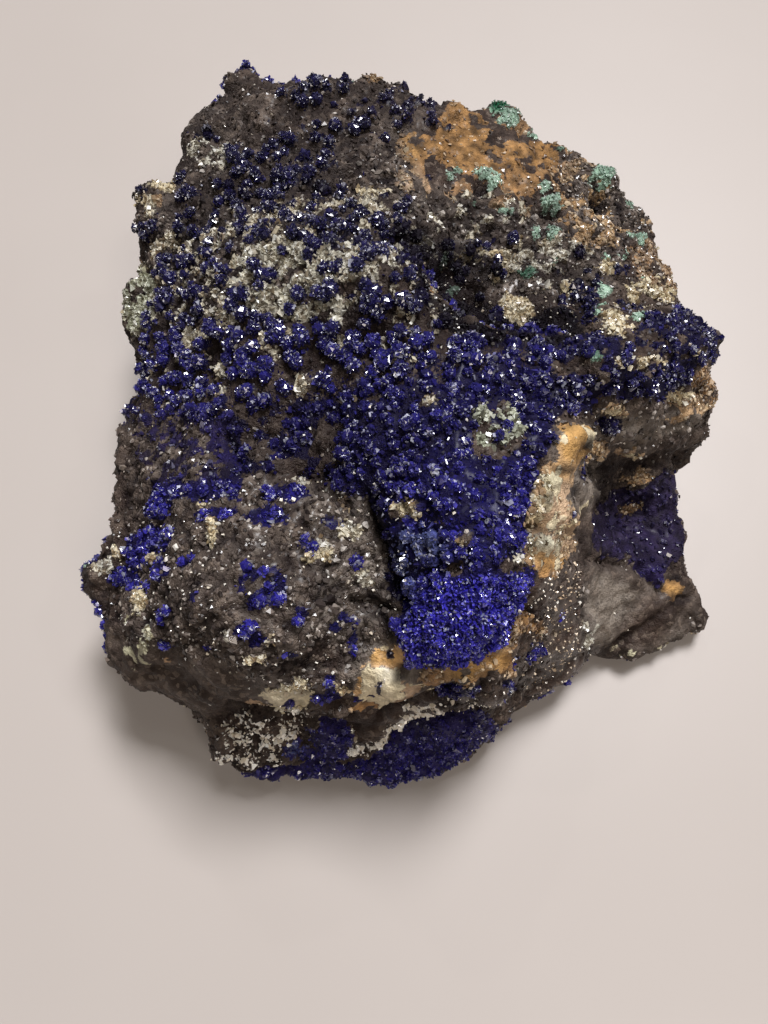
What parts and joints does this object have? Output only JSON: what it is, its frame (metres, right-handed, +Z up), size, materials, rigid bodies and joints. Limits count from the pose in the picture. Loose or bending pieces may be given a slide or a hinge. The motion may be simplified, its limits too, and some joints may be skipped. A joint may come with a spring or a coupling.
{
  "type": "azurite specimen",
  "caption": "Mineral specimen: a rough broken rock crusted with deep blue azurite crystals, with green malachite spots and tan limonite, lying on a flat foot.",
  "frame": {"origin": "Centre of the bounding box in X and Y, on the flat foot that the stone rests on, at z = 0.", "axes": "+Z up from the foot, the shortest side of the stone. +Y runs along the longest side, from the low front apron to the raised back edge. +X runs to the side with the thin pointed wing."},
  "size_m": [0.092, 0.107, 0.046],
  "materials": {
    "azurite_rock": "rough crystalline crust"
  },
  "bodies": {
    "root": {"azurite_on_matrix": "azurite_rock"}
  },
  "joints": []
}
